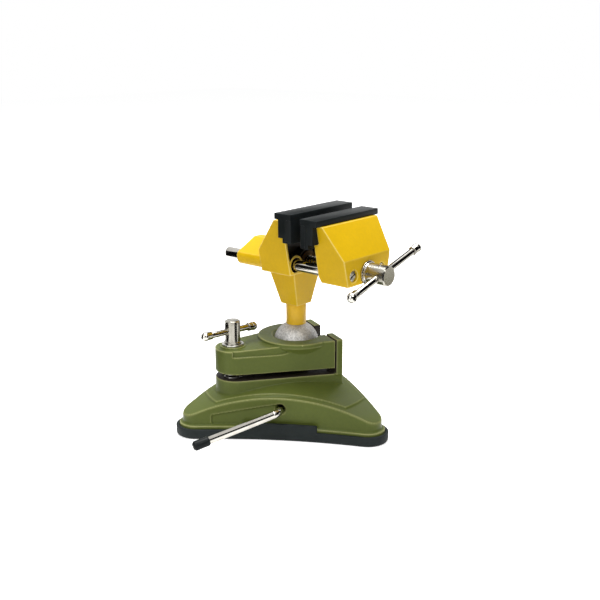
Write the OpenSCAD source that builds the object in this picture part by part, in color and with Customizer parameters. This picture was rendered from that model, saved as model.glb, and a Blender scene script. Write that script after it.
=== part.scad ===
// Small bench vise on a ball joint, standing on a lever-locked suction foot.
// Origin on the table straight below the ball, +Z up, the spindle handle towards -Y, the jaws along X.
// Lengths along the head are written as u, counted from the ball's axis towards the handle.

/* [Foot] */
// Turn of the foot and its clamp under the head, seen from above
base_turn = -26; // [-60:1:60]
// Distance from the ball's axis back to the middle of the foot
foot_shift = 8.5; // [5:0.5:12]
// Distance from the middle of the foot to the round end of each lobe
lobe_reach = 86.5; // [80:0.5:95]
// Radius of the pad round each lobe
pad_lobe_r = 18.5; // [17:0.5:21]
// Distance from the middle of the foot to the hollow of each side of the pad
pad_waist = 56; // [53:0.5:58]
// Thickness of the rubber pad
pad_t = 5; // [4:0.5:6]
// Height of the lip round the pad's edge
pad_lip_h = 4; // [2:0.5:5]
// Width of the pad's tab on the lever side
tab_w = 65; // [40:1:70]
// Height of the tab above the table
tab_h = 15.5; // [13:0.5:17]
// Step from the pad's edge back to the edge of the casting's flange
flange_inset = 3; // [2:0.5:4]
// Height of the casting's flange
flange_h = 6.5; // [5:0.5:8]
// Step from the pad's edge back to the casting's side wall
wall_inset = 5; // [4.5:0.5:6]
// Thickness of the casting's walls
wall_t = 5; // [4:0.5:6]
// Height of the foot's dome at its middle
dome_z = 43.5; // [42:0.5:44.5]
// Height of the dome over the ends of the lobes
dome_tip_z = 19; // [17:0.5:21]
// Step from the casting's side wall back to the raised collar
collar_inset = 4.3; // [3:0.1:6]
// Reach of the collar from the middle of the foot
collar_reach = 75; // [70:0.5:80]
// Height of the collar above the dome
collar_h = 1.5; // [1:0.5:3]

/* [Suction lever] */
// Side of the foot that the lever comes out of
lever_side = -120; // [-120, 120]
// Diameter of the lever's rod
lever_d = 6.5; // [6:0.1:7]
// Height of the lever's axis
lever_z = 27.5; // [26:0.5:28.5]
// Angle that the lever is bent through
lever_bend = 60; // [50:1:66]
// Droop of the lever below level
lever_droop = 14.6; // [10:0.1:17]
// Length of the lever past its bend
lever_len = 74; // [60:1:76]
// Radius of the lever's bend
lever_bend_r = 9; // [8:0.5:12]
// Length of the grip on the lever
grip_len = 14.5; // [12:0.5:24]
// Diameter of the grip
grip_d = 8.4; // [8:0.2:9.6]
// Depth of the wider mouth of the lever's hole
lever_mouth = 3; // [2:0.5:4]
// Depth of the rest for the lever in the foot's side
rest_depth = 1.6; // [1:0.2:2.4]
// Length of the rest from the lever's hole
rest_len = 60; // [45:1:64]
// Fall of the rest's upper edge
rest_fall = 11; // [8:1:13]
// Throw of the lever's crank
crank_e = 1.5; // [1.3:0.1:1.6]
// Diameter of the crank's pin
crank_d = 3.3; // [3:0.1:3.4]
// Diameter of the plate that lifts the pad
pull_plate_d = 46; // [30:1:52]
// Thickness of the plate that lifts the pad
pull_plate_t = 2; // [1.5:0.5:3]

/* [Ball clamp] */
// Diameter of the ball
ball_d = 41; // [40:0.5:43]
// Height of the ball's middle above the table
ball_z = 71; // [69:0.5:74]
// Drop from the ball's middle to the top of the lower clamp block
block_drop = 22.5; // [20:0.5:23]
// Gap between the two clamp halves
clamp_gap = 5.5; // [5:0.5:6.5]
// Thickness of the clamp plate round the ball
plate_t = 25.4; // [24:0.2:26]
// Thickness of the clamp plate at its round end
arm_t = 20.6; // [19:0.2:21]
// Rise of the arm's top from the round end to the ball
arm_rise = 3.4; // [2:0.2:3.6]
// Half width of the clamp at the posts
clamp_half_w = 34.5; // [33:0.5:36]
// Distance from the ball's axis to the inner face of the posts
post_x = 23.8; // [23:0.2:26]
// Thickness of the posts
post_t = 6.6; // [6:0.2:8]
// Rise of the posts above the clamp plate
post_rise = 0.8; // [0:0.2:3]
// Width of the notch for the neck
notch_w = 26; // [22:0.5:28]
// Distance from the ball's axis to the clamp screw
screw_x = 60.5; // [58:0.5:64]
// Radius of the clamp's round end
end_r = 19; // [17:0.5:21]
// Distance from the clamp screw to the middle of the round end
end_offset = 3.5; // [2:0.5:5]
// Radius of the raised disc round the ball
disc_r = 34.5; // [32:0.5:36]
// Depth of the disc's straight rim
disc_rim_h = 4; // [3:0.5:6]
// Height of the step along the arm's sides, above the plate's underside
side_step_h = 16; // [14:0.5:17]
// Depth of that step
side_step_w = 1.6; // [1:0.2:2.2]
// Radius of the step's rise towards the ball
side_step_r = 38; // [30:1:42]
// Diameter of the clamp screw's shank
screw_d = 8; // [6:0.5:9]
// Diameter of the clamp screw's head
screw_head_d = 13.5; // [13:0.5:16]
// Height of the clamp screw's head
screw_head_h = 20.8; // [18:0.2:24]
// Depth of the clamp screw in the lower block
screw_depth = 16; // [14:0.5:17]
// Diameter of the clamp washer
washer_d = 19; // [17:0.5:21]
// Thickness of the clamp washer
washer_t = 1.6; // [1.2:0.2:2]
// Diameter of the clamp bar
clamp_bar_d = 5.5; // [5:0.1:6]
// Length of the clamp bar between the middles of its knobs
clamp_bar_span = 50.7; // [44:0.1:60]
// Turn of the clamp bar from the clamp's long axis
clamp_bar_turn = 16.4; // [0:0.1:90]
// How far the clamp bar is pushed through
clamp_bar_push = -3.2; // [-6:0.1:6]
// Diameter of the clamp bar's knobs
clamp_knob_d = 8; // [7.5:0.1:9]
// Mean radius of the lift spring
spring_r = 7.6; // [7.2:0.1:8]
// Thickness of the spring's wire
spring_wire_d = 1.6; // [1.2:0.1:1.8]
// Number of the spring's turns
spring_turns = 3.5; // [2.5:0.5:4]
// Depth of the spring's pocket in the lower block
spring_pocket_h = 6; // [5:0.5:8]

/* [Neck] */
// Diameter of the neck
neck_d = 18; // [16:0.5:18.5]
// Height of the post's lower end above the ball's middle
neck_len = 37.3; // [36:0.1:42]
// Diameter of the spigot in the post
spigot_d = 12; // [10:0.5:13]
// Length of the spigot
spigot_len = 20; // [16:1:24]

/* [Jaws] */
// Width of the jaws at the top
jaw_w = 75; // [70:1:80]
// Width of the jaws at the bottom
jaw_foot_w = 54; // [50:1:58]
// Height of the tapered post below the jaws
post_h = 31.7; // [28:0.1:34]
// Side of the post's lower end
post_foot_w = 19.2; // [18.8:0.2:20.4]
// Width of the post's upper end
post_head_w = 37.2; // [32:0.2:38]
// Reach of the post's upper end to the rear
post_rear_u = 16; // [14:0.5:16]
// Reach of the post's upper end to the front
post_front_u = 13.5; // [12:0.5:14.5]
// Height of the jaws
jaw_h = 49.4; // [47:0.2:52]
// Position of the rear cap's gripping face
grip_u = 29.7; // [27:0.1:32]
// Step from the lower lip of the rear cap back to the fixed jaw's front
front_step = 4; // [3:0.5:4.5]
// Height of the rear cap's flange above the top of the fixed jaw
rear_cap_rise = 2; // [0.5:0.5:3]
// Opening of the jaws as shown
jaw_opening = 10.3; // [2:0.1:40]
// Rear edge of the fixed jaw's top
jaw_top_u = 7; // [5:0.5:9]
// Foot of the fixed jaw's slanted back
slant_u = -16.5; // [-20:0.5:-14]
// Height of the slanted back's foot above the jaw's bottom
slant_h = 19.7; // [18:0.5:22]
// Rear face of the rod bosses
rear_u = -46; // [-50:0.5:-42]
// Radius of the rod bosses
boss_r = 8.6; // [8:0.1:9]
// Flat below the rear block, above the jaw's bottom
rear_step_h = 2; // [1:0.5:3]
// Lean of the rear block's roof
roof_lean = 26; // [20:1:28]
// Place of the roof's eaves round the rod bosses, from their tops
eave_turn = 60; // [50:1:70]
// Height of the roof's ridge above the rods
ridge_h = 15; // [13:0.5:15.5]
// Depth of the movable jaw's top behind its slope
jaw_top_t = 6.6; // [5:0.2:10]
// Depth of the movable jaw at its crease
jaw_crease_t = 25; // [23:0.5:28]
// Height of the crease below the top
crease_drop = 27; // [24:0.5:30]
// Forward lean of the movable jaw's front at its bottom
front_lean = 0.9; // [0:0.1:2]
// Chamfer at the movable jaw's lower rear edge
jaw_chamfer = 5; // [3:0.5:7]
// Thickness of the side walls of the fixed jaw's front pocket
pocket_wall = 2.4; // [2:0.2:4]
// Depth of the fixed jaw's front pocket
pocket_depth = 12; // [8:0.5:14]

/* [Jaw caps] */
// Length of the caps
cap_len = 83.6; // [76:0.2:90]
// Depth of the caps' top flange
cap_flange_w = 17.8; // [16:0.2:19]
// Thickness of the caps' top flange
cap_flange_t = 5.2; // [4:0.2:7]
// Depth of the caps' block
cap_block_w = 13.6; // [12:0.2:15]
// Height of the caps' block
cap_block_h = 15.4; // [13:0.2:18]
// Depth of the caps' lower lip
cap_lip_w = 8.7; // [7:0.1:10]
// Height of the caps' lower lip
cap_lip_h = 4; // [2:0.5:6]
// Thickness of the caps' gripping plate
cap_plate_t = 5; // [3:0.5:6]

/* [Rods and spindle] */
// Diameter of the guide rods
rod_d = 10; // [9:0.5:10.5]
// Distance from the middle to each guide rod
rod_v = 19.2; // [18.6:0.2:19.6]
// Height of the rods and the spindle above the jaw's bottom
rod_h = 8.5; // [8:0.5:9]
// Length of the guide rods
rod_len = 135; // [130:1:140]
// Thickness of the rods' bushes
bush_t = 1.5; // [1:0.1:1.8]
// Length of the rods' bushes
bush_len = 12; // [10:1:16]
// Depth of the bushes behind the fixed jaw's front
bush_recess = 3; // [1:0.5:4]
// Diameter of the rod screws' heads
rod_screw_head_d = 9.4; // [8.8:0.1:9.6]
// Height of the rod screws' heads
rod_screw_head_h = 2.6; // [2:0.1:3.4]
// Diameter of the rod screws' shanks
rod_screw_d = 5; // [4:0.5:5.5]
// Length of the rod screws in the rods
rod_screw_len = 10; // [8:0.5:14]
// Diameter of the spindle
spindle_d = 10; // [9:0.5:10.5]
// Rear end of the spindle
spindle_rear_u = -52; // [-58:0.5:-48]
// Diameter of the spindle's head
spindle_head_d = 17.5; // [16.5:0.5:19]
// Length of the spindle's head
spindle_head_len = 18.6; // [16:0.2:22]
// Diameter of the spindle's washer
spindle_washer_d = 20.5; // [20:0.5:22]
// Thickness of the spindle's washer
spindle_washer_t = 2.6; // [2:0.2:3.4]
// Diameter of the spindle's nut
nut_d = 19; // [17:0.5:20]
// Length of the spindle's nut
nut_len = 16; // [12:0.5:16]
// Diameter of the spindle bar
spindle_bar_d = 6; // [5.5:0.1:6.5]
// Length of the spindle bar between the middles of its knobs
spindle_bar_span = 93; // [80:0.5:110]
// Tilt of the spindle bar from level
spindle_bar_tilt = 16; // [-90:1:90]
// How far the spindle bar is pushed through
spindle_bar_push = 5.5; // [-10:0.5:10]
// Diameter of the spindle bar's knobs
spindle_knob_d = 8.8; // [8:0.1:10]
// Diameter of the detent ball
detent_d = 3; // [2.5:0.1:3.4]

/* [Fits] */
// Radial clearance of running fits
run_gap = 0.06; // [0.02:0.01:0.1]
// Radial clearance of fixed fits
set_gap = 0.02; // [0.01:0.01:0.05]
// Clearance of free holes and faces
free_gap = 0.6; // [0.4:0.1:1]
// Gap between the clamp plate and the posts
hinge_gap = 1; // [0.8:0.1:1.4]

/* [Hidden] */
$fn = 72;

yellow_paint = [0.85, 0.66, 0.08];
green_paint = [0.34, 0.40, 0.20];
black_plastic = [0.12, 0.13, 0.13];
black_rubber = [0.16, 0.18, 0.18];
bright_steel = [0.80, 0.79, 0.76];
grey_metal = [0.60, 0.60, 0.58];
bronze_metal = [0.55, 0.40, 0.22];

// Steps of the drawn arcs
lobe_steps = 16;
hollow_steps = 15;
end_steps = 24;
// More than any size of the part, for cuts that run right through
through = 300;
// Extra length of a cut past a face
over = 1;

// Foot
ball_r = ball_d / 2;
wall_lobe_r = pad_lobe_r - wall_inset - 1;
wall_waist = pad_waist - wall_inset;
dome_r = cap_radius(lobe_reach + wall_lobe_r, dome_z - dome_tip_z);
block_top_z = ball_z - block_drop;
block_foot_z = dome_tip_z + wall_t;

// Clamp
plate_bottom_z = block_top_z + clamp_gap;
plate_top_z = plate_bottom_z + plate_t;
arm_top_z = plate_bottom_z + arm_t;
plate_end_x = post_x - hinge_gap;
post_end_x = post_x + post_t;
end_x = screw_x - end_offset;
tongue_r = 2.4;
tongue_x = post_x + tongue_r;
tongue_margin = 3;
seat_low = 4;
seat_chamfer = 2.4;
cup_r = ball_r * 0.8;
cup_rise = 9;
boss_rise = 2;
boss_margin = 1.6;
washer_z = arm_top_z + boss_rise;
screw_head_z = washer_z + washer_t;
clamp_bar_z = screw_head_z + screw_head_h * 0.54;
spring_floor_z = block_top_z - spring_pocket_h;
spring_h = plate_bottom_z - spring_floor_z;

// Lever, counted along its own axis from the middle of the foot
lever_r = lever_d / 2;
mouth_r = lever_r + 1.3;
lever_out = wall_waist + 3;
front_bearing_in = 9;
rear_bearing_in = -9;
rear_bearing_out = -19;
clip_t = 1.2;
lever_tail = rear_bearing_out - 4;
crank_half = 5;
eye_half_t = 3.6;
crank_start = 255;
eye_half_h = crank_d / 2 + 2.6;
eye_half_w = crank_d / 2 + crank_e + 2.6;
eye_slack = 0.35;
crank_z = lever_z + crank_e * sin(crank_start);
stud_r = 3;

// Head
post_foot_z = ball_z + neck_len;
jaw_foot_z = post_foot_z + post_h;
jaw_top_z = jaw_foot_z + jaw_h;
rod_z = jaw_foot_z + rod_h;
cap_top_z = jaw_top_z + cap_flange_t;
cap_step_z = jaw_top_z - cap_block_h;
cap_low_z = cap_step_z - cap_lip_h;
rear_step_z = cap_step_z + rear_cap_rise;
fixed_front_u = grip_u - cap_lip_w - front_step;
fixed_recess_u = grip_u - cap_block_w;
move_grip_u = grip_u + jaw_opening;
move_rear_u = move_grip_u + cap_lip_w;
move_recess_u = move_grip_u + cap_block_w;
move_top_u = move_recess_u + jaw_top_t;
move_crease_u = move_recess_u + jaw_crease_t;
crease_z = jaw_top_z - crease_drop;
move_front_u = move_crease_u + front_lean;
front_face_u = move_crease_u + front_lean * (crease_z - rod_z) / (crease_z - jaw_foot_z);
rod_r = rod_d / 2;
rod_seat_u = front_face_u - 3.8;
rod_front_u = rod_seat_u - 5;
rod_rear_u = rod_front_u - rod_len;
spindle_r = spindle_d / 2;
washer_u = front_face_u + 0.5;
head_u = washer_u + spindle_washer_t;
head_end_u = head_u + spindle_head_len;
cross_hole_u = head_u + spindle_head_len * 0.58;
retainer_t = 1.2;
retainer_u = move_rear_u - retainer_t - 0.3;
nut_front_u = fixed_front_u - 2.5;
bush_u = fixed_front_u - bush_recess - bush_len;

// Rings along each turn of the spring, and sides of its wire
coil_rings = 8;
coil_sides = 6;
coil_last = spring_turns * coil_rings;
coil_gap = min_coil_gap();
echo("least gap between the spring's turns", coil_gap);

// Radius of a ball whose cap of this half width has this height
function cap_radius(half_w, h) = (half_w ^ 2 + h ^ 2) / (2 * h);

function polar(r, a) = [r * cos(a), r * sin(a)];

// Outline with three round lobes and hollow sides, around the middle of the foot
function lobed(lobe_r, waist) =
    let(step_in = waist - lobe_r)
    let(hub = (lobe_reach ^ 2 - step_in ^ 2) / (lobe_reach - 2 * step_in))
    let(hollow_r = hub - waist)
    let(turn = atan2(hub * sin(60), hub * cos(60) - lobe_reach))
    [for (k = [0 : 2]) each concat(
        [for (i = [0 : lobe_steps])
            polar(lobe_reach, 180 + 120 * k)
            + polar(lobe_r, 180 + 120 * k - turn + 2 * turn * i / lobe_steps)],
        [for (i = [1 : hollow_steps - 1])
            polar(hub, 240 + 120 * k)
            + polar(hollow_r, 120 * k + turn - (2 * turn - 120) * i / hollow_steps)]
    )];

// Outline of the clamp, set in all round by inset: a round end at the screw, straight flanks out to the posts
function clamp_outline(wide_x, inset = 0) =
    let(half_w = clamp_half_w - inset)
    let(round_r = end_r - inset)
    let(flank = atan2(half_w, wide_x + end_x))
    let(reach = norm([wide_x + end_x, half_w]))
    let(start = flank + acos(round_r / reach))
    concat(
        [[wide_x, half_w]],
        [for (i = [0 : end_steps])
            [-end_x, 0] + polar(round_r, start + (360 - 2 * start) * i / end_steps)],
        [[wide_x, -half_w]]
    );

// Middle line of the lift spring
function coil_point(i) =
    let(rise = spring_h - spring_wire_d - 2 * set_gap)
    let(a = 360 * i / coil_rings)
    [spring_r * cos(a), spring_r * sin(a), spring_wire_d / 2 + set_gap + rise * i / coil_last];

// One ring of points round the spring's wire
function coil_ring(i) =
    let(a = 360 * i / coil_rings)
    [for (k = [0 : coil_sides - 1])
        coil_point(i) + spring_wire_d / 2 * (
            cos(360 * k / coil_sides) * [cos(a), sin(a), 0]
            + sin(360 * k / coil_sides) * [0, 0, 1])];

// Least clear distance from one turn of the spring to the next
function min_coil_gap() =
    min([for (i = [0 : coil_last - coil_rings / 2]) for (j = [i + coil_rings / 2 : coil_last])
        norm(coil_point(i) - coil_point(j))]) - spring_wire_d;

// Frames of the foot, of its lever and of the head
module base_frame() {
    rotate([0, 0, base_turn]) children();
}

module foot_frame() {
    base_frame() translate([-foot_shift, 0, 0]) children();
}

module lever_frame() {
    foot_frame() translate([0, 0, lever_z]) rotate([0, 0, lever_side]) children();
}

module screw_frame(z) {
    base_frame() translate([-screw_x, 0, z]) children();
}

module spindle_frame(u) {
    translate([0, -u, rod_z]) rotate([90, 0, 0]) children();
}

// Round bar along the head from u0 to u1
module bar_u(r, u0, u1, v = 0) {
    translate([v, -u0, rod_z]) rotate([90, 0, 0]) cylinder(r = r, h = u1 - u0);
}

// Outline in u and height, drawn across the head
module across(width) {
    rotate([90, 0, 90]) linear_extrude(width, center = true) mirror([1, 0]) children();
}

// Outline in width and height, drawn along the head from u0 to u1
module along(u0, u1) {
    translate([0, -u0, 0]) rotate([90, 0, 0]) linear_extrude(u1 - u0) children();
}

// Round bar along X of the local frame
module bar_x(r, x0, x1) {
    translate([x0, 0, 0]) rotate([0, 90, 0]) cylinder(r = r, h = x1 - x0);
}

module dome(top_z, r) {
    translate([0, 0, top_z - r]) sphere(r = r, $fn = 200);
}

// Slab of the foot's outline, set in from the pad's edge
module foot_slab(lobe_r, waist, z0, z1) {
    translate([0, 0, z0]) linear_extrude(z1 - z0) polygon(lobed(lobe_r, waist));
}

module suction_pad() {
    edge_gap = 0.3;
    color(black_rubber) foot_frame() {
        foot_slab(pad_lobe_r, pad_waist, 0, pad_t);
        difference() {
            union() {
                foot_slab(pad_lobe_r, pad_waist, pad_t, pad_t + pad_lip_h);
                intersection() {
                    foot_slab(pad_lobe_r, pad_waist, pad_t, tab_h);
                    rotate([0, 0, lever_side])
                        translate([0, -tab_w / 2, 0]) cube([pad_waist * 2, tab_w, tab_h]);
                }
            }
            foot_slab(pad_lobe_r - flange_inset + edge_gap, pad_waist - flange_inset + edge_gap,
                pad_t - over, tab_h + over);
        }
    }
}

// Bearings of the lever inside the foot, hung from its roof
module lever_bearings() {
    bearing_r = lever_r + 3.5;
    intersection() {
        lever_frame() for (x = [[rear_bearing_out, rear_bearing_in], [front_bearing_in, wall_waist - wall_t / 2]]) {
            bar_x(bearing_r, x[0], x[1]);
            translate([x[0], -bearing_r, 0]) cube([x[1] - x[0], 2 * bearing_r, dome_z - lever_z]);
        }
        foot_frame() dome(dome_z - wall_t / 2, dome_r);
    }
}

// Shallow rest that the lever lies in, from its hole towards the next lobe, just above the flange
module lever_rest() {
    low = pad_t + flange_h + free_gap - lever_z;
    low_start = -mouth_r * 4;
    difference() {
        lever_frame() translate([wall_waist / 2, 0, 0]) rotate([90, 0, 90]) linear_extrude(pad_waist) polygon([
            [0, mouth_r], [-rest_len, mouth_r - rest_len * tan(rest_fall)], [-rest_len, low],
            [low_start, low], [0, -mouth_r]
        ]);
        foot_frame() foot_slab(wall_lobe_r - rest_depth, wall_waist - rest_depth, 0, dome_z + over);
    }
}

// Posts at the open end of the clamp, with the slots that the plate rocks in
module clamp_posts() {
    post_foot = block_top_z - over;
    for (side = [-1, 1]) difference() {
        translate([post_x, side > 0 ? notch_w / 2 : -clamp_half_w, post_foot])
            cube([post_t, clamp_half_w - notch_w / 2, plate_top_z + post_rise - post_foot]);
        tongue(side, tongue_r + run_gap, 0, tongue_margin - run_gap, post_x - over);
    }
}

// Round-nosed tongue of the clamp plate, from x0 to its nose inside a post, thinner by relief at its neck
module tongue(side, r, relief, margin, x0) {
    y0 = notch_w / 2 + margin;
    y1 = clamp_half_w - margin;
    translate([0, side > 0 ? y0 : -y1, ball_z]) {
        translate([tongue_x, 0, 0]) rotate([-90, 0, 0]) cylinder(r = r, h = y1 - y0);
        translate([x0, 0, relief - r]) cube([tongue_x - x0, y1 - y0, 2 * (r - relief)]);
    }
}

// Raised collar on the dome, its hollow sides along the foot's and its ends round
module collar() {
    intersection() {
        foot_slab(wall_lobe_r - collar_inset, wall_waist - collar_inset, block_foot_z, block_top_z);
        cylinder(r = collar_reach, h = through);
        dome(dome_z + collar_h, dome_r);
    }
}

module base_casting() {
    cup_z = ball_z - ball_r + cup_rise;
    cup_foot_z = dome_z - wall_t / 2;
    color(green_paint) difference() {
        union() {
            difference() {
                union() {
                    foot_frame() {
                        foot_slab(pad_lobe_r - flange_inset, pad_waist - flange_inset, pad_t, pad_t + flange_h);
                        intersection() {
                            foot_slab(wall_lobe_r, wall_waist, pad_t, dome_z + over);
                            dome(dome_z, dome_r);
                        }
                    }
                    base_frame() translate([0, 0, block_foot_z])
                        linear_extrude(block_top_z - block_foot_z) polygon(clamp_outline(post_end_x));
                    foot_frame() collar();
                }
                foot_frame() intersection() {
                    foot_slab(wall_lobe_r - wall_t, wall_waist - wall_t, pad_t - over, dome_z);
                    dome(dome_z - wall_t, dome_r);
                }
            }
            lever_bearings();
            base_frame() {
                clamp_posts();
                translate([0, 0, cup_foot_z]) cylinder(r = cup_r, h = cup_z - cup_foot_z);
            }
        }
        base_frame() translate([0, 0, ball_z]) sphere(r = ball_r + run_gap, $fn = 120);
        foot_frame() pull_room();
        lever_frame() bar_x(lever_r + run_gap, lever_tail - free_gap, pad_waist);
        lever_frame() bar_x(mouth_r, wall_waist - lever_mouth, pad_waist);
        lever_rest();
        screw_frame(block_top_z - screw_depth - free_gap) cylinder(d = screw_d + 2 * run_gap, h = through);
        screw_frame(spring_floor_z) cylinder(r = spring_r + spring_wire_d / 2 + free_gap, h = through);
    }
}

// Room inside the foot for the stud and the plate that lift the pad
module pull_room() {
    room_r = eye_half_w + 2.2;
    translate([0, 0, pad_t - over]) cylinder(r = room_r, h = dome_z - wall_t - pad_t);
    translate([0, 0, pad_t - over]) cylinder(r = pull_plate_d / 2 + over, h = pull_plate_t + 5);
}

module pad_plate() {
    color(grey_metal) foot_frame() translate([0, 0, pad_t]) difference() {
        cylinder(d = pull_plate_d, h = pull_plate_t);
        translate([0, 0, -over]) cylinder(r = stud_r + set_gap, h = pull_plate_t + 2 * over);
    }
}

module pull_stud() {
    slot_z = crank_d / 2 + eye_slack;
    slot_from = -crank_e - slot_z;
    slot_to = crank_e * cos(crank_start) + slot_z;
    color(bright_steel) {
        foot_frame() translate([0, 0, pad_t]) {
            cylinder(r = stud_r, h = crank_z - eye_half_h - pad_t + over / 2);
            translate([0, 0, pull_plate_t]) cylinder(r = stud_r + 1.6, h = 2);
        }
        translate([0, 0, crank_z - lever_z]) lever_frame() difference() {
            translate([-eye_half_t, -eye_half_w, -eye_half_h])
                cube([2 * eye_half_t, 2 * eye_half_w, 2 * eye_half_h]);
            for (y = [slot_from + slot_z, slot_to - slot_z]) translate([0, y, 0])
                bar_x(slot_z, -eye_half_t - over, eye_half_t + over);
            translate([-eye_half_t - over, slot_from + slot_z, -slot_z])
                cube([2 * (eye_half_t + over), slot_to - slot_from - 2 * slot_z, 2 * slot_z]);
        }
    }
}

// Frame at the start of the lever's bend, turned so that the lever bends towards +Y
module bend_frame() {
    lever_frame() rotate([180 + lever_droop, 0, 0]) translate([lever_out, 0, 0]) children();
}

// Frame at the end of the bend, with X along the lever's arm
module arm_frame() {
    bend_frame() translate([0, lever_bend_r, 0]) rotate([0, 0, lever_bend])
        translate([0, -lever_bend_r, 0]) children();
}

// The rod swells a little where it is bent
module vacuum_lever() {
    bend_swell = 0.15;
    color(bright_steel) {
        lever_frame() difference() {
            union() {
                bar_x(lever_r, crank_half, lever_out + over);
                bar_x(lever_r, lever_tail, -crank_half);
                translate([0, crank_e * cos(crank_start), crank_e * sin(crank_start)])
                    bar_x(crank_d / 2, -crank_half - over, crank_half + over);
            }
            translate([rear_bearing_out - clip_t - 0.4, 0, 0]) rotate([0, 90, 0]) difference() {
                cylinder(r = lever_r + over, h = clip_t + 0.2);
                translate([0, 0, -over]) cylinder(r = lever_r - 0.8, h = clip_t + 3 * over);
            }
        }
        bend_frame() translate([0, lever_bend_r, 0]) rotate([0, 0, -90])
            rotate_extrude(angle = lever_bend) translate([lever_bend_r, 0]) circle(r = lever_r + bend_swell);
        arm_frame() bar_x(lever_r, -over, lever_len - grip_len);
        arm_frame() bar_x(lever_r - 0.8, lever_len - grip_len - over, lever_len - 3);
    }
}

module lever_grip() {
    grip_r = grip_d / 2;
    nose = 1.6;
    color(black_plastic) arm_frame() translate([lever_len - grip_len, 0, 0]) rotate([0, 90, 0]) difference() {
        rotate_extrude() polygon([[0, 0], [grip_r - nose / 2, 0], [grip_r, nose / 2],
            [grip_r, grip_len - nose], [grip_r - nose, grip_len], [0, grip_len]]);
        translate([0, 0, -over]) cylinder(r = lever_r - 0.8 + set_gap, h = grip_len - 3 + set_gap + over);
    }
}

module lever_clip() {
    color(bright_steel) lever_frame() translate([rear_bearing_out - clip_t - 0.3, 0, 0]) rotate([0, 90, 0])
        difference() {
            cylinder(r = lever_r + 2.2, h = clip_t);
            translate([0, 0, -over]) cylinder(r = lever_r - 0.8 + set_gap, h = clip_t + 2 * over);
            translate([0, -lever_r + 0.9, -over]) cube([through, 2 * lever_r - 1.8, clip_t + 2 * over]);
        }
}

// Raised disc of the clamp plate, with a coned underside
module clamp_disc() {
    cone_h = 10;
    cone_w = 8;
    rotate_extrude() polygon([
        [0, plate_top_z - disc_rim_h - cone_h], [disc_r - cone_w, plate_top_z - disc_rim_h - cone_h],
        [disc_r, plate_top_z - disc_rim_h], [disc_r, plate_top_z], [0, plate_top_z]
    ]);
}

// Seat of the ball in the clamp plate, open towards the posts
module ball_seat() {
    rim_r = sqrt((ball_r + run_gap) ^ 2 - (plate_top_z - seat_chamfer - ball_z) ^ 2);
    translate([0, 0, ball_z]) sphere(r = ball_r + run_gap, $fn = 120);
    translate([0, 0, plate_bottom_z - over])
        cylinder(r = ball_r + free_gap, h = ball_z + seat_low - plate_bottom_z + over);
    translate([0, 0, plate_top_z - seat_chamfer])
        cylinder(r1 = rim_r, r2 = rim_r + seat_chamfer * 1.5, h = seat_chamfer * 1.5);
    translate([0, -notch_w / 2, plate_bottom_z - over]) cube([through, notch_w, plate_t + 2 * over]);
}

// Outline in X and height, drawn across the clamp
module across_clamp() {
    rotate([90, 0, 0]) linear_extrude(through, center = true) children();
}

// Step along the arm's sides, from the round end to where it rises in a curve beside the ball
module side_step() {
    step_z = plate_bottom_z + side_step_h;
    step_x = -29;
    difference() {
        across_clamp() {
            translate([-end_x - end_r / 2, step_z]) square([step_x + end_x + end_r / 2, plate_t]);
            translate([step_x, step_z + side_step_r]) circle(r = side_step_r);
        }
        linear_extrude(through) polygon(clamp_outline(plate_end_x, side_step_w));
    }
}

module clamp_plate() {
    color(green_paint) base_frame() difference() {
        union() {
            difference() {
                intersection() {
                    translate([0, 0, plate_bottom_z]) linear_extrude(plate_t) polygon(clamp_outline(plate_end_x));
                    across_clamp() polygon([[-end_x - end_r - over, 0], [through, 0], [through, through],
                        [0, through], [0, arm_top_z + arm_rise], [-end_x - end_r, arm_top_z],
                        [-end_x - end_r - over, arm_top_z]]);
                }
                side_step();
            }
            intersection() {
                clamp_disc();
                translate([plate_end_x - through, -through / 2, 0]) cube([through, through, through]);
            }
            for (side = [-1, 1]) tongue(side, tongue_r, 0.2, tongue_margin, plate_end_x - over);
            translate([-screw_x, 0, plate_bottom_z])
                cylinder(r = washer_d / 2 + boss_margin, h = washer_z - plate_bottom_z);
        }
        ball_seat();
        translate([-screw_x, 0, plate_bottom_z - over]) cylinder(r = screw_d / 2 + free_gap, h = through);
    }
}

module lift_spring() {
    last = coil_last;
    points = [for (i = [0 : last]) each coil_ring(i)];
    sides = [for (i = [0 : last - 1]) for (k = [0 : coil_sides - 1])
        let(a = i * coil_sides + k)
        let(b = i * coil_sides + (k + 1) % coil_sides)
        each [[a, b, b + coil_sides], [a, b + coil_sides, a + coil_sides]]];
    ends = [for (k = [1 : coil_sides - 2])
        each [[0, k + 1, k], [last * coil_sides, last * coil_sides + k, last * coil_sides + k + 1]]];
    color(bright_steel) screw_frame(spring_floor_z)
        polyhedron(points = points, faces = concat(sides, ends));
}

module clamp_washer() {
    color(bright_steel) screw_frame(washer_z) difference() {
        cylinder(d = washer_d, h = washer_t);
        translate([0, 0, -over]) cylinder(r = screw_d / 2 + free_gap / 2, h = washer_t + 2 * over);
    }
}

module clamp_screw() {
    head_r = screw_head_d / 2;
    edge = 0.9;
    foot = 2.2;
    color(bright_steel) difference() {
        screw_frame(0) rotate_extrude() polygon([
            [0, block_top_z - screw_depth], [screw_d / 2 - edge, block_top_z - screw_depth],
            [screw_d / 2, block_top_z - screw_depth + edge], [screw_d / 2, screw_head_z],
            [head_r + edge, screw_head_z], [head_r + edge, screw_head_z + foot - edge],
            [head_r, screw_head_z + foot], [head_r, screw_head_z + screw_head_h - edge],
            [head_r - edge, screw_head_z + screw_head_h], [0, screw_head_z + screw_head_h]
        ]);
        clamp_bar_frame() bar_x(clamp_bar_d / 2 + run_gap, -screw_head_d, screw_head_d);
    }
}

module clamp_bar_frame() {
    screw_frame(clamp_bar_z) rotate([0, 0, clamp_bar_turn]) children();
}

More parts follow.
